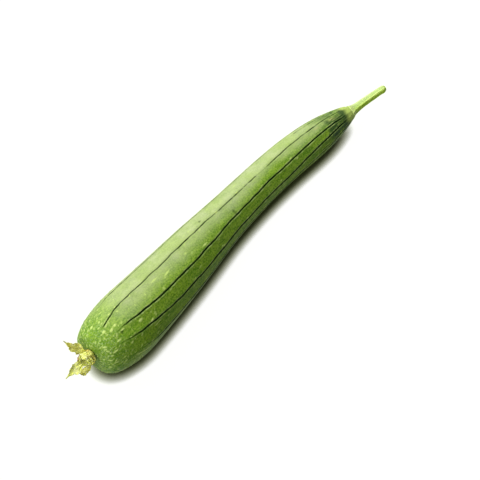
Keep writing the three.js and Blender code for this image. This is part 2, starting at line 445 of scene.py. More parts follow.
def grow_veins(rind):
    """Moves the columns under the veins along their courses, then sinks and darkens each vein."""
    places = read_vertices(rind)
    along, angles, radii = AXIS.locate(places)
    lines = []
    for i, vein in enumerate(VEINS):
        seed = 3.1 * i + 0.7
        lines.append((vein_course(vein, seed), vein_strength(vein, seed), 1.0))
    turned = follow_courses(along, angles, [line[0] for line in lines])
    lift = np.zeros(len(places))
    masks = {name: np.zeros(len(places)) for name in ("vein", "vein_shade", "vein_lip_highlight")}
    for line in [*lines, *neck_veins()]:
        sunk, raised, shown = vein_relief(line, along, turned, radii)
        lift -= sunk
        lift += raised
        for name in masks:
            masks[name] = np.maximum(masks[name], shown[name])
    side, top = AXIS.across(along)
    ring = side * np.cos(np.radians(turned))[:, None] + top * np.sin(np.radians(turned))[:, None]
    off_plane = AXIS.off_plane(places, along)
    write_vertices(rind, AXIS.point(along) + off_plane + ring * (radii + lift)[:, None])
    for name, values in masks.items():
        set_mask(rind, name, values)


def follow_courses(along, angles, courses):
    """Turns each place with the two veins beside it, so that the columns of faces flow with them."""
    wandered = np.array([
        np.interp(along, STATIONS, course - angle) for course, angle in zip(courses, VEIN_ANGLES)
    ])
    after = np.searchsorted(VEIN_ANGLES, angles) % len(VEINS)
    before = (after - 1) % len(VEINS)
    gap = (VEIN_ANGLES[after] - VEIN_ANGLES[before]) % 360.0
    share = ((angles - VEIN_ANGLES[before]) % 360.0) / gap
    rows = np.arange(len(angles))
    return angles + (1.0 - share) * wandered[before, rows] + share * wandered[after, rows]


class Marks:
    """Small raised or sunken marks on a skin, each an oval with its own size, turn and height."""

    def __init__(self, piece, seed, masks):
        self.piece = piece
        self.random = random.Random(seed)
        self.places = read_vertices(piece)
        self.normals = read_vertices(piece, "normal")
        self.lift = np.zeros(len(self.places))
        self.masks = {mask: np.zeros(len(self.places)) for mask in masks}
        self.tree = kdtree.KDTree(len(self.places))
        for i, place in enumerate(self.places):
            self.tree.insert(place, i)
        self.tree.balance()

    def stamp(self, mask, along, angle, length, width, height, turn=0.0, strength=1.0):
        """One mark: its place on the fruit, half length, half width and height, and its turn in degrees."""
        spot = self.tree.find(AXIS.on_skin(along, angle))[1]
        normal = Vector(self.normals[spot])
        forward = Vector(AXIS.tangent(along))
        forward = (forward - normal * forward.dot(normal)).normalized()
        forward.rotate(Matrix.Rotation(math.radians(turn), 3, normal))
        aside = normal.cross(forward)
        centre = Vector(self.places[spot])
        shown = self.masks[mask]
        for place, i, _ in self.tree.find_range(centre, 1.3 * max(length, width)):
            step = place - centre
            reach = (step.dot(forward) / length) ** 2 + (step.dot(aside) / width) ** 2
            if reach < 1.7:
                rise = max(0.0, 1.0 - reach / 1.7)
                self.lift[i] += height * rise * rise * (3.0 - 2.0 * rise)
                shown[i] = max(shown[i], strength * min(1.0, max(0.0, 1.6 - reach)))

    def finish(self):
        write_vertices(self.piece, self.places + self.normals * self.lift[:, None])
        for mask, values in self.masks.items():
            set_mask(self.piece, mask, values)


WARTS = 640
WART_REACH = 15 * MM  # they thin out over about this distance from the blossom end
WARTS_END = 100 * MM
WART_SPACING = 1.9 * MM
DASHES = 210

# Marks that this gourd alone has, by mask: distance from the blossom end and angle, half length, half
# width and height in mm, and turn from the axis in degrees.
OWN_MARKS = {
    "dent": (
        (24, 122, 1.3, 1.1, -0.4, 30), (5, 194, 2.6, 0.6, -0.3, -30),
        (200, 121, 2.6, 0.45, -0.15, -90), (282, 138, 1.1, 0.8, -0.15, 0),
        (167, 76, 2.4, 0.9, -0.05, 40),
    ),
    "wart": (
        (25.5, 118.5, 2.0, 0.6, 0.25, -10), (5, 119, 2.0, 0.8, 0.2, -32),
        (10, 140.5, 2.8, 0.7, 0.25, 6), (18, 127.5, 2.1, 0.8, 0.25, -6),
        (19, 106, 1.8, 1.1, 0.3, 20), (14, 98, 1.6, 1.2, 0.3, 0),
        (12, 70, 1.6, 1.1, 0.3, 0), (24, 104, 1.5, 1.1, 0.3, 0),
        (44, 128, 2.2, 1.2, 0.25, 0), (53, 142, 2.2, 0.8, 0.2, 15),
        (56.5, 154, 5.0, 0.55, 0.15, 0), (33, 179.5, 9.4, 0.75, 0.2, -17),
        (81, 98, 3.2, 0.75, 0.2, 0), (96, 105, 3.3, 0.75, 0.2, 8),
        (148, 120.5, 2.7, 0.75, 0.2, -4), (167, 157, 2.0, 0.65, 0.15, 0),
        (210, 158, 2.0, 0.65, 0.15, 0), (186, 90, 1.3, 0.9, 0.15, 0),
        (220, 90, 1.2, 0.9, 0.15, 0), (304, 134, 1.3, 0.9, 0.15, 0),
    ),
    "scar": (
        (371, 104, 6.5, 1.7, 0.05, -6), (348, 102, 4.6, 1.1, 0.05, -10),
    ),
}


def scatter_warts(marks):
    """Warts at random, crowded at the blossom end and clear of each other."""
    draw = marks.random
    own = [mark for marks_of_kind in OWN_MARKS.values() for mark in marks_of_kind]
    taken = [AXIS.on_skin(along * MM, angle) for along, angle, *_ in own]
    while len(taken) < WARTS:
        along = draw.expovariate(1.0 / WART_REACH)
        angle = draw.uniform(0.0, 360.0)
        if along > WARTS_END:
            continue
        spot = AXIS.on_skin(along, angle)
        if any((spot - other).length < WART_SPACING for other in taken):
            continue
        taken.append(spot)
        if noise.noise(spot / (7 * MM)) < -0.3:
            continue
        size = draw.uniform(0.42, 0.82) * MM
        bright = draw.uniform(0.25, 0.95)
        length = size * draw.uniform(1.2, 2.2)
        height = draw.uniform(0.14, 0.3) * MM
        marks.stamp("wart", along, angle, length, size, height, draw.gauss(20.0, 35.0), bright)


def scatter_dashes(marks):
    """Thin, low marks at random down the length."""
    draw = marks.random
    for _ in range(DASHES):
        along = draw.uniform(30.0, 376.0) * MM
        angle = draw.uniform(0.0, 360.0)
        length = draw.uniform(0.8, 2.6) * MM
        width = draw.uniform(0.45, 0.75) * MM
        height = draw.uniform(0.05, 0.16) * MM
        turn = draw.gauss(0.0, 16.0)
        marks.stamp("wart", along, angle, length, width, height, turn, draw.uniform(0.1, 1.0) ** 2)


def add_warts(rind):
    """Pale warts crowd the blossom end; pale dashes are scattered down the length."""
    marks = Marks(rind, 11, ("wart", "dent", "scar"))
    for mask, own in OWN_MARKS.items():
        for along, angle, length, width, height, turn in own:
            marks.stamp(mask, along * MM, angle, length * MM, width * MM, height * MM, turn)
    scatter_warts(marks)
    scatter_dashes(marks)
    marks.finish()


# Where the colours of the ends come and go, in distances from the blossom end.
TIP_FADES = (2 * MM, 34 * MM)
COLLAR_STARTS = (386 * MM, 394 * MM)
NECK_START = 318 * MM
NECK_FULL = 392 * MM
NECK_EARLIER = 34 * MM  # on the shaded side the neck darkens this much nearer the blossom end, as painted shade
BLOOM_AND_SHEEN_STARTS = (6 * MM, 60 * MM)
BLOOM_AND_SHEEN_THINS = (330 * MM, 380 * MM)
BLOOM_AND_SHEEN_ANGLE = 60.0  # degrees, where the wax bloom and its painted sheen are thickest, on the side facing the key light


def mark_ends(rind):
    """Masks for the speckled blossom end, the wax bloom with its painted sheen on the lit top, the dark
    neck with its painted shade on the shaded side, and the pale rays under the stem.
    """
    along, angles, _ = AXIS.locate(read_vertices(rind))
    turn = np.radians(angles)
    rays = 1.6 * np.cos(5.0 * turn) + 1.1 * np.cos(9.0 * turn + 1.0)
    set_mask(rind, "tip", 1.0 - smoothstep(*TIP_FADES, along))
    set_mask(rind, "collar", smoothstep(*COLLAR_STARTS, along + rays * MM))
    above = turn_between(angles, BLOOM_AND_SHEEN_ANGLE)
    # Painted shade: away from the lit top, the dark neck starts nearer the blossom end.
    shaded_side = smoothstep(20.0, 80.0, np.abs(above))
    set_mask(rind, "neck", smoothstep(NECK_START - NECK_EARLIER * shaded_side, NECK_FULL, along))
    # Painted sheen: the wax bloom is laid thickest on the top that faces the key light, where it also
    # stands for that light's sheen.
    drift = 9.0 * wander(along, 60 * MM, 4.0)
    bloom_and_painted_sheen = 1.0 - smoothstep(22.0, 62.0, np.abs(above + drift) - 6.0)
    bloom_and_painted_sheen *= smoothstep(*BLOOM_AND_SHEEN_STARTS, along) * (1.0 - 0.65 * smoothstep(*BLOOM_AND_SHEEN_THINS, along))
    set_mask(rind, "bloom_and_painted_sheen", bloom_and_painted_sheen)


def rest_on_ground(piece):
    places = read_vertices(piece)
    places[:, 2] = np.maximum(places[:, 2], 0.0)
    write_vertices(piece, places)


def meet_stem_end(cage):
    """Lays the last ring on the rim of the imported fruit's flat end, which is not square to the axis."""
    flats = [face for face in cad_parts["fruit"].data.polygons if face.normal.x > 0.9]
    flat = max(flats, key=lambda face: face.center.x)
    just_inside = flat.center - 0.05 * MM * flat.normal

    def on_plane(place):
        return place - flat.normal * (place - just_inside).dot(flat.normal)

    middle = on_plane(Vector(AXIS.point(AXIS.length)))
    places = read_vertices(cage)
    for i in range(len(places) - COLUMNS, len(places)):
        places[i] = AXIS.skin.ray_cast(middle, on_plane(Vector(places[i])) - middle)[0]
    write_vertices(cage, places)


def make_fruit():
    rings = ring_places()
    rind = make_cage("gourd_rind", AXIS, rings, COLUMNS, FIRST_COLUMN)
    meet_stem_end(rind)
    close_end(rind, 0, COLUMNS)
    close_end(rind, len(rings) - 1, COLUMNS, ((0.92, 0.0), (0.5, 0.0)))
    face_outward(rind)
    crowd_columns_at_veins(rind)
    subdivide_smooth(rind, 2)
    grow_veins(rind)
    add_warts(rind)
    mark_ends(rind)
    rest_on_ground(rind)
    shade_smooth(rind)
    return rind


# --- Stem ---
STEM_COLUMNS = 40
STEM_RINGS = (0.0, 0.8, 2.0, 4.0, 7.0, 12.0, 20.0, 30.0, 40.0, 45.0, 48.4, 50.0, 51.0)  # mm from the fruit
COLLAR_OVERLAP = 1.1 * MM  # how far the stem's base is drawn back towards the fruit
COLLAR_REACH = 8 * MM
STEM_RIDGES = 5


def make_stem():
    """The cut stem and its collar. Known fault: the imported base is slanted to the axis, so half of the
    first ring misses its rim, and an open wedge to the fruit is left on the +Y side.
    """
    axis = Axis("stem", clear=5 * MM, steps=20)
    rings = np.array(STEM_RINGS) * MM
    stem = make_cage("cut_stem", axis, rings, STEM_COLUMNS)
    close_end(stem, 0, STEM_COLUMNS, ((0.98, -COLLAR_OVERLAP), (0.6, -0.4 * COLLAR_OVERLAP)))
    close_end(stem, len(rings) - 1, STEM_COLUMNS, ((0.84, 0.5 * MM), (0.8, 0.1 * MM), (0.6, -0.3 * MM)))
    face_outward(stem)
    subdivide_smooth(stem, 2)
    shape_stem(stem, axis)
    shade_smooth(stem)
    return stem


def shape_stem(stem, axis):
    """Ridges that run out into a lobed collar, a little roughness, the masks of the two ends, of the
    grooves, and of a painted highlight along the top.
    """
    places = read_vertices(stem)
    along, angles, radii = axis.locate(places)
    turn = np.radians(angles) + 6.0 * along
    ridge = 0.5 + 0.5 * np.cos(STEM_RIDGES * turn)
    fine = np.cos(3.0 * STEM_RIDGES * turn + 1.0)
    near_fruit = 1.0 - smoothstep(0.0, COLLAR_REACH, along)
    lift = (0.35 * ridge ** 3 - 0.12 + 0.05 * fine) * MM
    lift -= 0.25 * MM * smoothstep(30 * MM, 46 * MM, along)
    collar = near_fruit ** 2 * (0.3 + 0.7 * smoothstep(0.0, 3 * MM, along))
    lift += collar * (0.35 + 0.35 * ridge + 0.2 * np.cos(7.0 * turn + 0.6)) * MM
    rough = noise_at(Vector(place) / (5 * MM) for place in places)
    on_side = smoothstep(1.5 * MM, 3.5 * MM, radii)
    rounded = smoothstep(44 * MM, 52 * MM, along) ** 3
    lift -= 0.32 * radii * rounded
    out = places - axis.point(along)
    out /= np.maximum(np.linalg.norm(out, axis=1, keepdims=True), MM)
    write_vertices(stem, places + out * (on_side * (lift + 0.25 * MM * rough))[:, None])
    cut = smoothstep(axis.length - 2.2 * MM, axis.length - 0.8 * MM, along)
    set_mask(stem, "collar", near_fruit)
    # Painted highlight: the side of the stem facing the key light is made paler.
    set_mask(stem, "bloom_and_painted_sheen", smoothstep(0.1, 1.0, np.cos(np.radians(angles - 70.0))))
    set_mask(stem, "cut", cut)
    set_mask(stem, "groove", (1.0 - ridge) * on_side * (1.0 - cut))


# --- Withered flower ---
class Flower:
    """The frame of the withered flower: its axis comes out of the fruit at the blossom end."""

    def __init__(self):
        self.out = -AXIS.tangent(0.0)
        self.side, self.top = AXIS.across(0.0)
        cup = read_vertices(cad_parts["calyx_cup"])
        heights = cup @ self.out
        self.root = cup.mean(axis=0) - self.out * (heights.mean() - heights.min())

    def radial(self, degrees):
        """Directions away from the flower's axis, at angles from +Y towards +Z."""
        turn = np.radians(degrees)[..., None]
        return self.side * np.cos(turn) + self.top * np.sin(turn)


FLOWER = Flower()

# Leaf-like pieces. Routes and cups are in mm: a route is [distance from the flower's axis, distance
# out of the fruit]. Widths are [share of the length, half width in mm]. A cup curls the two edges
# towards the flower's axis; crumple and ragged are how rough the face and the edge are, in mm. Browned
# is how far the piece has turned from yellow to brown.
SEPALS = (
    dict(angle=40, twist=80, route=[[5.0, 1.4], [7.2, 4.4], [10.2, 6.4], [17.3, 10], [25.8, 12.5]],
        widths=[[0, 1.2], [0.12, 1.7], [0.24, 3.9], [0.36, 4.8], [0.5, 4.0], [0.7, 2.2],
                [0.86, 0.6], [1, 0.2]],
        cup=1.0, crumple=0.9, ragged=0.8),
    dict(angle=112, twist=0, route=[[5.6, 1.4], [7.2, 3.6], [7.2, 5.6], [6.2, 7.4]],
        widths=[[0, 2.2], [0.3, 3.2], [0.6, 2.8], [0.85, 1.6], [1, 0.6]],
        cup=0.9, crumple=0.6, ragged=0.8),
    dict(angle=184, twist=-18, route=[[5.6, 1.4], [7.6, 4], [7.9, 6.4], [7.4, 8.4]],
        widths=[[0, 2.2], [0.3, 2.8], [0.6, 2.4], [0.85, 1.3], [1, 0.4]],
        cup=0.8, crumple=0.7, ragged=0.7),
    dict(angle=262, twist=-12, route=[[5.6, 1.4], [9.2, 6.1], [11.5, 9.7], [12.9, 13.7], [11.6, 17]],
        widths=[[0, 2.4], [0.3, 3.0], [0.55, 3.2], [0.76, 3.3], [0.92, 3.0], [1, 1.5]],
        cup=0.1, crumple=0.6, ragged=1.1),
    dict(angle=328, twist=-15, route=[[5.6, 1.4], [9.9, 4.8], [9.6, 8.2], [7.6, 11.8]],
        widths=[[0, 2.2], [0.3, 3.2], [0.6, 2.6], [0.85, 1.4], [1, 0.5]],
        cup=0.8, crumple=0.8, ragged=0.8, browned=1.0),
)
BUD_PETAL = dict(
    twist=0, route=[[4.6, 3.6], [6.2, 5.8], [5.2, 8.2], [2.2, 9.4]],
    widths=[[0, 3.0], [0.3, 4.3], [0.6, 4.2], [0.85, 2.8], [1, 1.2]],
    cup=1.4, crumple=1.3, ragged=1.1,
)
PETALS = (
    dict(BUD_PETAL, angle=4, route=[[4.6, 3.6], [6.4, 6], [5.4, 9], [2.6, 11]]),
    dict(BUD_PETAL, angle=76, route=[[4.6, 3.6], [6.2, 6], [5.6, 8.6], [2.8, 10]]),
    dict(BUD_PETAL, angle=148),
    dict(BUD_PETAL, angle=220, route=[[4.6, 3.6], [6.2, 6.2], [5.2, 8.6], [2.2, 9.8]]),
    dict(angle=292, twist=0, route=[[4.6, 3.6], [4.9, 9], [2.6, 15], [0.8, 21], [0.4, 28], [0.6, 33]],
        widths=[[0, 2.6], [0.18, 3.3], [0.34, 3.2], [0.46, 4.2], [0.6, 4.3], [0.69, 3.4], [0.77, 1.8],
                [0.86, 0.9], [0.93, 0.4], [1, 0.15]],
        cup=0.5, crumple=0.7, ragged=0.7),
)
BLADE_THICKNESS = 0.4 * MM
BLADE_COLUMNS = 6


def make_strip(name, length, widths):
    """A flat strip on +X from its root: one row of faces, whose far edge is extruded and resized."""
    shares = [share for share, _ in widths]
    halves = [half * MM for _, half in widths]
    deselect()
    bpy.ops.mesh.primitive_grid_add(
        x_subdivisions=1, y_subdivisions=BLADE_COLUMNS, size=2 * halves[0], location=(0.0, 0.0, 0.0)
    )
    strip = name_piece(name)
    first = length * (shares[1] - shares[0])
    enter_edit(strip, action="SELECT")
    bpy.ops.transform.resize(value=(first / (2 * halves[0]), 1.0, 1.0))
    bpy.ops.transform.translate(value=(first / 2, 0.0, 0.0))
    leave_edit()
    far = [vertex.index for vertex in strip.data.vertices if vertex.co.x > 0.5 * first]
    select_vertices(strip, far)
    along = first
    bpy.ops.transform.resize(value=(1.0, halves[1] / halves[0], 1.0), center_override=(along, 0.0, 0.0))
    for i in range(2, len(widths)):
        step = length * (shares[i] - shares[i - 1])
        along += step
        extrude((step, 0.0, 0.0), (1.0, halves[i] / halves[i - 1], 1.0), (along, 0.0, 0.0))
    leave_edit()
    return strip


def make_blade(name, shape, seed):
    """One dried sepal or petal: a flat strip, smoothed, bent along its route, crumpled and thickened."""
    length = sum(math.dist(a, b) for a, b in zip(shape["route"], shape["route"][1:])) * MM
    strip = make_strip(name, length, shape["widths"])
    subdivide_smooth(strip, 2)
    flat = read_vertices(strip)
    share = np.clip(flat[:, 0] / length, 0.0, 1.0)
    half = np.interp(share, *np.transpose(shape["widths"])) * MM
    across = np.clip(flat[:, 1] / np.maximum(half, 0.3 * MM), -1.0, 1.0)
    write_vertices(strip, bend_blade(shape, share, across, flat[:, 1], seed))
    set_mask(strip, "length_share", share)
    set_mask(strip, "across", across)
    set_mask(strip, "browned", np.full(len(share), shape.get("browned", 0.0)))
    apply_modifier(strip, "SOLIDIFY", thickness=BLADE_THICKNESS, offset=0.0)
    face_outward(strip)
    bpy.ops.object.shade_smooth_by_angle(angle=math.radians(50))
    return strip


def bend_blade(shape, share, across, offset, seed):
    """Places of a blade's vertices, from the share of the length, and the place across it."""
    edge = np.abs(across)
    tear = ragged_edge(share, np.sign(across), seed)
    offset = offset * (1.0 + edge ** 2 * 0.3 * shape["ragged"] * tear)
    torn = 0.03 * shape["ragged"] * edge ** 2 * tear * smoothstep(0.1, 0.4, share)
    share = np.clip(share + torn, 0.0, 1.03)
    centre = curve_through(shape["route"], share)
    ahead = curve_through(shape["route"], np.minimum(share + 0.02, 1.0))
    behind = curve_through(shape["route"], np.maximum(np.minimum(share, 1.0) - 0.02, 0.0))
    tangent = (ahead - behind) / np.linalg.norm(ahead - behind, axis=1, keepdims=True)
    radial = FLOWER.radial(np.array(float(shape["angle"])))
    sideways = FLOWER.radial(np.array(shape["angle"] + 90.0))
    normal = tangent[:, 1:] * radial - tangent[:, :1] * FLOWER.out
    turn = np.radians(shape["twist"]) * (0.5 + 0.5 * smoothstep(0.0, 0.45, share))
    inward = -shape["cup"] * MM * across ** 2 * np.sin(np.pi * np.clip(share + 0.15, 0.0, 1.0))
    inward += crumple(share, across, shape["crumple"], seed)
    flat = offset * np.cos(turn) - inward * np.sin(turn)
    thick = offset * np.sin(turn) + inward * np.cos(turn)
    route = FLOWER.root + radial * (centre[:, :1] * MM) + FLOWER.out * (centre[:, 1:] * MM)
    return route + normal * thick[:, None] + sideways * flat[:, None]


def ragged_edge(share, side, seed):
    """How far the edge is torn in or out, from about -1 to 1, on each side of a blade."""
    coarse = noise_at((7.0 * s, 3.0 * k, seed) for s, k in zip(share, side))
    fine = noise_at((21.0 * s, 3.0 * k, seed + 5.0) for s, k in zip(share, side))
    return 2.0 * coarse + 1.2 * fine


def crumple(share, across, depth, seed):
    """Folds and creases of a dried blade: sharp ridges with a finer crinkle on them."""
    broad = np.abs(noise_at((3.2 * s, 1.3 * a, seed) for s, a in zip(share, across)))
    crinkle = noise_at((8.0 * s, 3.6 * a, seed + 9.0) for s, a in zip(share, across))
    return 0.7 * depth * MM * (1.0 - 4.0 * broad + crinkle) * smoothstep(0.0, 0.25, share)


CUP = ((4.8, 0.0), (6.0, 1.4), (5.8, 2.9), (5.2, 3.6), (4.4, 3.0), (3.0, 2.2))  # radius, height in mm
CUP_COLUMNS = 20


def make_cup():
    """The dry cup under the flower: a circle extruded up its side, over its rim and down inside."""
    facing = Vector(FLOWER.out).to_track_quat("Z", "Y").to_euler()
    root = Vector(FLOWER.root)
    out = Vector(FLOWER.out)
    cup = add_circle("dry_calyx_cup", CUP_COLUMNS, CUP[0][0] * MM, root, facing, "NGON")
    select_vertices(cup, range(CUP_COLUMNS))
    for (radius, height), (wider, higher) in zip(CUP, CUP[1:]):
        grow = wider / radius
        extrude(out * (higher - height) * MM, (grow, grow, grow), root + out * higher * MM)
    leave_edit()
    face_outward(cup)
    subdivide_smooth(cup, 2)
    places = read_vertices(cup)
    normals = read_vertices(cup, "normal")
    rough = noise_at(Vector(place) / (2.5 * MM) for place in places)
    write_vertices(cup, places + normals * (0.7 * MM * rough)[:, None])
    set_mask(cup, "browned", np.full(len(places), 0.35))
    shade_smooth(cup)
    return cup


# --- Materials ---
def srgb(*levels):
    """A colour written as 0 to 255 on screen, for a shader."""
    shares = [level / 255.0 for level in levels]
    linear = [share / 12.92 if share <= 0.04045 else ((share + 0.055) / 1.055) ** 2.4 for share in shares]
    return (*linear, 1.0)


def add_node(tree, kind, inputs=(), **settings):
    """Adds a node, with its settings, and gives each named input a value or joins it to a socket."""
    node = tree.nodes.new("ShaderNode" + kind)
    for key, value in settings.items():
        setattr(node, key, value)
    for key, value in dict(inputs).items():
        socket = node.inputs[key]
        if isinstance(value, bpy.types.NodeSocket):
            tree.links.new(value, socket)
        else:
            socket.default_value = value
    return node


def mix(tree, factor, a, b):
    return add_node(tree, "Mix", {0: factor, 6: a, 7: b}, data_type="RGBA").outputs[2]


def mask(tree, name):
    return add_node(tree, "Attribute", attribute_name=name).outputs["Fac"]


def spread(tree, value, low, high, to_low=0.0, to_high=1.0):
    """Stretches a value from one range to another, clamped."""
    node = add_node(tree, "MapRange", {0: value, 1: low, 2: high, 3: to_low, 4: to_high})
    return node.outputs[0]


def calculate(tree, operation, a, b=0.0, c=0.0):
    return add_node(tree, "Math", {0: a, 1: b, 2: c}, operation=operation).outputs[0]


def noise_value(tree, vector, scale, detail=3.0, roughness=0.5):
    inputs = {"Vector": vector, "Scale": scale, "Detail": detail, "Roughness": roughness}
    return add_node(tree, "TexNoise", inputs).outputs["Fac"]


def object_place(tree, stretch=(1.0, 1.0, 1.0)):
    place = add_node(tree, "TexCoord").outputs["Object"]
    return add_node(tree, "Mapping", {"Vector": place, "Scale": stretch}).outputs["Vector"]


def new_material(name, constants):
    """A material whose shader has these constants."""
    material = bpy.data.materials.new(name)
    material.use_nodes = True
    tree = material.node_tree
    shader = tree.nodes["Principled BSDF"]
    for key, value in constants.items():
        shader.inputs[key].default_value = value
    return material, tree, shader


def join_surface(tree, shader, colour, normal):
    tree.links.new(colour, shader.inputs["Base Color"])
    tree.links.new(normal, shader.inputs["Normal"])


def new_effect(name, inputs, output):
    """A shared node group, ready to be filled: it takes a vector, a scale and its own inputs."""
    group = bpy.data.node_groups.new(name, "ShaderNodeTree")
    inputs = {"Vector": "Vector", "Scale": "Float", **inputs}
    for way, sockets in (("INPUT", inputs), ("OUTPUT", output)):
        for socket, kind in sockets.items():
            group.interface.new_socket(name=socket, in_out=way, socket_type="NodeSocket" + kind)
    given = group.nodes.new("NodeGroupInput").outputs
    return group, given, group.nodes.new("NodeGroupOutput").inputs


def mottle_effect():
    """Two colours in soft patches: the contrast sets how sharply one turns into the other."""
    inputs = {"Contrast": "Float", "First": "Color", "Second": "Color"}
    group, given, out = new_effect("mottle", inputs, {"Color": "Color", "Mask": "Float"})
    patch = calculate(group, "SUBTRACT", noise_value(group, given["Vector"], given["Scale"], 4.0), 0.5)
    share = calculate(group, "MULTIPLY_ADD", patch, given["Contrast"], 0.5)
    share = spread(group, share, 0.0, 1.0)
    group.links.new(mix(group, share, given["First"], given["Second"]), out["Color"])
    group.links.new(share, out["Mask"])
    return group


def blotch_effect():
    """Dark blotches: the amount, 0 to 1, sets how much they cover."""
    group, given, out = new_effect("dry blotches", {"Amount": "Float"}, {"Mask": "Float"})
    cloud = noise_value(group, given["Vector"], given["Scale"], 5.0, 0.6)
    blotch = calculate(group, "ADD", cloud, given["Amount"])
    group.links.new(spread(group, blotch, 0.96, 1.08), out["Mask"])
    return group


def grain_effect():
    """A fine uneven surface: the depth is in metres."""
    group, given, out = new_effect("fine grain", {"Depth": "Float"}, {"Normal": "Vector"})
    height = noise_value(group, given["Vector"], given["Scale"], 3.0)
    bump = {"Strength": 1.0, "Distance": given["Depth"], "Height": height}
    group.links.new(add_node(group, "Bump", bump).outputs[0], out["Normal"])
    return group


MOTTLE = mottle_effect()
BLOTCHES = blotch_effect()
GRAIN = grain_effect()


def effect(tree, group, output, vector, scale, **inputs):
    """Adds a shared effect and gives one of its outputs."""
    inputs.update(Vector=vector, Scale=scale)
    return add_node(tree, "Group", inputs, node_tree=group).outputs[output]


def mottle(tree, vector, scale, contrast, first, second):
    colours = {"First": srgb(*first), "Second": srgb(*second)}
    return effect(tree, MOTTLE, "Color", vector, scale, Contrast=contrast, **colours)


def patches(tree, vector, scale, contrast):
    return effect(tree, MOTTLE, "Mask", vector, scale, Contrast=contrast)


def blotches(tree, vector, scale, amount):
    return effect(tree, BLOTCHES, "Mask", vector, scale, Amount=amount)


def grain(tree, vector, scale, depth):
    return effect(tree, GRAIN, "Normal", vector, scale, Depth=depth)


def part_of(tree, value, share):
    return calculate(tree, "MULTIPLY", value, share)


def paint(tree, colour, layers):
    """Lays shades over a colour, one over the other: each has where it goes, its cover and its shade.

    Where it goes is a value, or the name of a mask.
    """
    for where, cover, shade in layers:
        if isinstance(where, str):
            where = mask(tree, where)
        colour = mix(tree, part_of(tree, where, cover), colour, srgb(*shade))
    return colour


# Patches of green on the rind, laid one over the other: how they lie, scale, contrast, cover, shade.
RIND_PATCHES = {
    "cool": ("lengthwise", 90.0, 5.0, 0.45, (112, 156, 44)),
    "deep": ("lengthwise", 150.0, 6.0, 0.35, (70, 120, 14)),
    "streaks": ("lengthwise", 430.0, 6.0, 0.5, (170, 206, 66)),
    "crumbs": ("even", 560.0, 8.0, 0.6, (70, 116, 14)),
    "specks": ("even", 720.0, 9.0, 0.35, (180, 212, 88)),
}


def rind_greens(tree, lies):
    """The greens of the rind, and the mask of each kind of patch in them."""
    colour = mottle(tree, lies["even"], 60.0, 5.0, (98, 150, 18), (142, 184, 34))
    masks = {}
    for name, (lie, scale, contrast, cover, shade) in RIND_PATCHES.items():
        masks[name] = patches(tree, lies[lie], scale, contrast)
        colour = paint(tree, colour, [(masks[name], cover, shade)])
    return colour, masks


def paint_bloom_and_sheen(tree, colour, place, specks):
    """Pale wax bloom along the top of the fruit, which also paints the sheen of the key light there."""
    pale = mottle(tree, place, 48.0, 3.0, (208, 219, 166), (198, 216, 142))
    patchy_cover = calculate(tree, "ADD", patches(tree, place, 110.0, 3.0), part_of(tree, specks, 0.4))
    bloom_and_painted_sheen = part_of(tree, mask(tree, "bloom_and_painted_sheen"), spread(tree, patchy_cover, 0.0, 1.4, 0.55, 0.85))
    return mix(tree, bloom_and_painted_sheen, colour, pale)


def darken_neck(tree, colour, lies):
    """Dark blue-green patches and streaks where the fruit narrows to the stem; on the shaded side they
    reach further towards the blossom end, as painted shade.
    """
    neck = mask(tree, "neck")
    streaks = part_of(tree, neck, patches(tree, lies["lengthwise"], 210.0, 5.0))
    dark = blotches(tree, lies["even"], 55.0, part_of(tree, neck, 0.58))
    return paint(tree, colour, [(streaks, 0.8, (58, 94, 44)), (dark, 0.85, (32, 62, 38))])


def speckle_tip(tree, colour, place, crumbs):
    """Pale speckles on a duller green at the blossom end."""
    tip = mask(tree, "tip")
    cells = add_node(tree, "TexVoronoi", {"Vector": place, "Scale": 640.0}).outputs["Distance"]
    pale = part_of(tree, tip, spread(tree, cells, 0.5, 0.12))
    pale = part_of(tree, pale, spread(tree, crumbs, 0.0, 1.0, 1.0, 0.25))
    return paint(tree, colour, [(tip, 0.35, (92, 132, 48)), (pale, 0.7, (186, 204, 160))])


def rind_material():
    constants = {"Roughness": 0.42, "Specular IOR Level": 0.03, "Coat Roughness": 0.36}
    material, tree, shader = new_material("waxy green rind", constants)
    place = object_place(tree)
    lies = {"even": place, "lengthwise": object_place(tree, (0.12, 1.0, 1.0))}
    colour, masks = rind_greens(tree, lies)
    colour = paint_bloom_and_sheen(tree, colour, place, masks["specks"])
    colour = darken_neck(tree, colour, lies)
    colour = speckle_tip(tree, colour, place, masks["crumbs"])
    colour = paint(tree, colour, [
        # Painted shade beside each vein, then a painted highlight on its raised lips:
        ("vein_shade", 0.45, (72, 114, 24)),
        ("vein_lip_highlight", 0.55, (206, 228, 138)),
        ("wart", 0.9, (218, 240, 136)),
        ("scar", spread(tree, masks["streaks"], 0.2, 0.6, 0.1, 0.85), (190, 194, 120)),
        ("dent", 0.75, (60, 88, 26)),
        ("vein", 1.0, (4, 30, 0)),
        ("collar", 1.0, (196, 220, 112)),
    ])
    # Painted reflection: towards its grazing edges the rind is mixed with a warm grey, as if it mirrored
    # its surroundings there.
    facing = add_node(tree, "LayerWeight", {"Blend": 0.5}).outputs["Facing"]
    colour = mix(tree, spread(tree, facing, 0.84, 1.0, 0.0, 0.55), colour, srgb(128, 124, 104))
    waxy = calculate(tree, "SUBTRACT", 0.07, part_of(tree, mask(tree, "vein"), 0.07))
    tree.links.new(waxy, shader.inputs["Coat Weight"])
    join_surface(tree, shader, colour, grain(tree, place, 900.0, 0.00012))
    return material


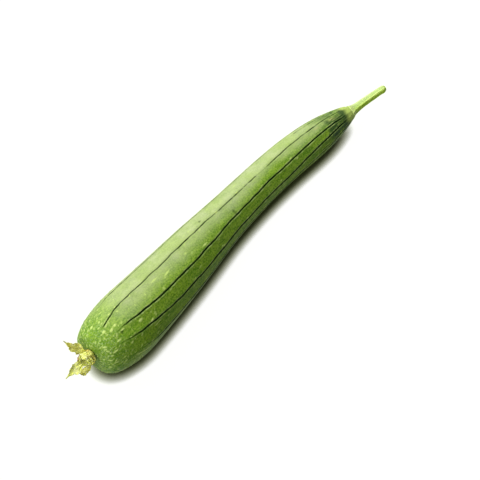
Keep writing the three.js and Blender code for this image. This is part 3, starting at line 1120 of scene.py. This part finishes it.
def stem_material():
    material, tree, shader = new_material("pale green stem", {"Roughness": 0.5, "Specular IOR Level": 0.1})
    place = object_place(tree)
    lengthwise = object_place(tree, (0.15, 1.0, 1.0))
    colour = mottle(tree, lengthwise, 420.0, 4.0, (186, 226, 58), (218, 242, 108))
    colour = paint(tree, colour, [
        # Painted highlight along the top of the stem, on the side facing the key light:
        ("bloom_and_painted_sheen", 0.8, (228, 244, 178)),
        ("groove", 0.3, (150, 204, 36)),
        (blotches(tree, place, 300.0, 0.4), 0.3, (130, 166, 44)),
        ("collar", 0.85, (226, 244, 150)),
    ])
    cut = mottle(tree, place, 900.0, 5.0, (200, 240, 56), (220, 246, 104))
    colour = mix(tree, mask(tree, "cut"), colour, cut)
    join_surface(tree, shader, colour, grain(tree, lengthwise, 700.0, 0.00015))
    return material


DRIED_SHADER = {
    "Roughness": 0.75, "Specular IOR Level": 0.1,
    "Subsurface Weight": 0.2, "Subsurface Radius": (1.0, 0.9, 0.35), "Subsurface Scale": 2 * MM,
}


def dried_material(name, first, second, vein, dark_blotch, amount):
    """Dry, crumpled tissue: mottled, with lengthwise veins, dark blotches and a darker tip."""
    material, tree, shader = new_material(name, DRIED_SHADER)
    place = object_place(tree)
    across = mask(tree, "across")
    along = mask(tree, "length_share")
    colour = mottle(tree, place, 260.0, 5.0, first, second)
    on_blade = {"X": part_of(tree, across, 4.0), "Y": part_of(tree, along, 0.8)}
    blade_place = add_node(tree, "CombineXYZ", on_blade).outputs[0]
    rim = spread(tree, calculate(tree, "ABSOLUTE", across), 0.78, 1.0)
    colour = paint(tree, colour, [
        (patches(tree, blade_place, 3.0, 7.0), 0.4, vein),
        (blotches(tree, place, 480.0, amount), 0.8, dark_blotch),
        (part_of(tree, rim, patches(tree, place, 200.0, 6.0)), 0.3, (158, 138, 66)),
        ("browned", 1.0, (196, 152, 106)),
        (spread(tree, along, 0.9, 1.0), 0.5, (150, 140, 104)),
    ])
    join_surface(tree, shader, colour, grain(tree, place, 900.0, 0.00016))
    return material


# --- Stage ---
def shown_directly(tree):
    """1 for what is seen straight, mirrored or through glass, 0 for light that is passed on."""
    path = add_node(tree, "LightPath")
    seen = calculate(tree, "MAXIMUM", path.outputs["Is Camera Ray"], path.outputs["Is Glossy Ray"])
    return calculate(tree, "MAXIMUM", seen, path.outputs["Is Transmission Ray"])


WHITE = (1.0, 1.0, 1.0, 1.0)
SHADOW_REACH = 14 * MM  # the floor's painted contact shadow is seen this close under the gourd


def make_floor():
    """A pale floor that passes on little light. Its white is a glow that fades close under the gourd, so
    the shadow seen there is painted, laid over the lamps' real shadow on its dark olive colour.
    """
    deselect()
    bpy.ops.mesh.primitive_plane_add(size=6.0, location=(0.0, 0.0, 0.0))
    floor = name_piece("studio_floor")
    material, tree, shader = new_material("pale floor", {"Roughness": 0.9, "Specular IOR Level": 0.0})
    seen = shown_directly(tree)
    # The floor's own colour is a dark olive that shows only in its shadow, tinting it as painted green
    # bounce.
    colour = mix(tree, seen, srgb(72, 84, 56), srgb(94, 102, 64))
    tree.links.new(colour, shader.inputs["Base Color"])
    # Painted shadow: the glow that makes the floor white fades where the gourd is close above, turning
    # olive as it fades.
    open_to_sky = add_node(tree, "AmbientOcclusion", {"Distance": SHADOW_REACH}).outputs["AO"]
    glow = spread(tree, open_to_sky, 0.44, 0.92, 0.0, 0.985)
    tree.links.new(mix(tree, glow, srgb(150, 158, 96), WHITE), shader.inputs["Emission Color"])
    tree.links.new(calculate(tree, "MULTIPLY", seen, glow), shader.inputs["Emission Strength"])
    floor.data.materials.append(material)


def make_lights():
    world = bpy.data.worlds.new("studio")
    bpy.context.scene.world = world
    world.use_nodes = True
    tree = world.node_tree
    background = tree.nodes["Background"]
    background.inputs["Color"].default_value = WHITE
    strength = spread(tree, shown_directly(tree), 0.0, 1.0, 0.15, 1.0)
    tree.links.new(strength, background.inputs["Strength"])
    add_lamp("soft_key_light", Vector((-0.06, 0.545, 0.839)), 3.0, 50)
    add_lamp("soft_side_light", Vector((-0.94, -0.15, 0.3)), 1.5, 60)


def add_lamp(name, towards, energy, spread_angle):
    """A broad, even lamp, far away in one direction."""
    deselect()
    bpy.ops.object.light_add(type="SUN", location=towards)
    lamp = bpy.context.active_object
    lamp.name = name
    lamp.data.energy = energy
    lamp.data.angle = math.radians(spread_angle)
    lamp.rotation_euler = towards.to_track_quat("Z", "Y").to_euler()


CAMERA_AZIMUTH = -51.86  # degrees, turned from looking along +Y
CAMERA_ELEVATION = 52.0
CAMERA_DISTANCE = 1.1
CAMERA_ANGLE = 24.0
CAMERA_TARGET = Vector((-15.0, -15.3, 17.8)) * MM


def make_camera():
    azimuth = math.radians(-CAMERA_AZIMUTH)
    elevation = math.radians(CAMERA_ELEVATION)
    level = Vector((math.sin(azimuth), math.cos(azimuth), 0.0))
    towards = level * math.cos(elevation) - UP * math.sin(elevation)
    deselect()
    bpy.ops.object.camera_add(location=CAMERA_TARGET - towards * CAMERA_DISTANCE)
    camera = bpy.context.active_object
    camera.name = "camera"
    camera.rotation_euler = towards.to_track_quat("-Z", "Y").to_euler()
    camera.data.angle = math.radians(CAMERA_ANGLE)
    bpy.context.scene.camera = camera


# --- Assembly ---
def add_to_part(piece, material, node):
    """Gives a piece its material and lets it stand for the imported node."""
    piece.data.materials.append(material)
    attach(piece, "root")
    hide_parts(node)


def make_part():
    add_to_part(make_fruit(), rind_material(), "fruit")
    add_to_part(make_stem(), stem_material(), "stem")
    sepal = dried_material(
        "dry sepal", (253, 254, 158), (238, 236, 114), (196, 184, 76), (116, 104, 26), 0.42
    )
    petal = dried_material(
        "withered petal", (252, 255, 164), (242, 250, 116), (252, 255, 176), (112, 108, 10), 0.36
    )
    add_to_part(make_cup(), sepal, "calyx_cup")
    for i, shape in enumerate(SEPALS, 1):
        add_to_part(make_blade(f"dried_sepal_{i}", shape, 2.3 * i), sepal, f"sepal_{i}")
    for i, shape in enumerate(PETALS, 1):
        add_to_part(make_blade(f"withered_petal_{i}", shape, 31.0 + 1.7 * i), petal, f"petal_{i}")


make_part()
make_floor()
make_lights()
make_camera()
bpy.context.scene.view_settings.view_transform = "Standard"
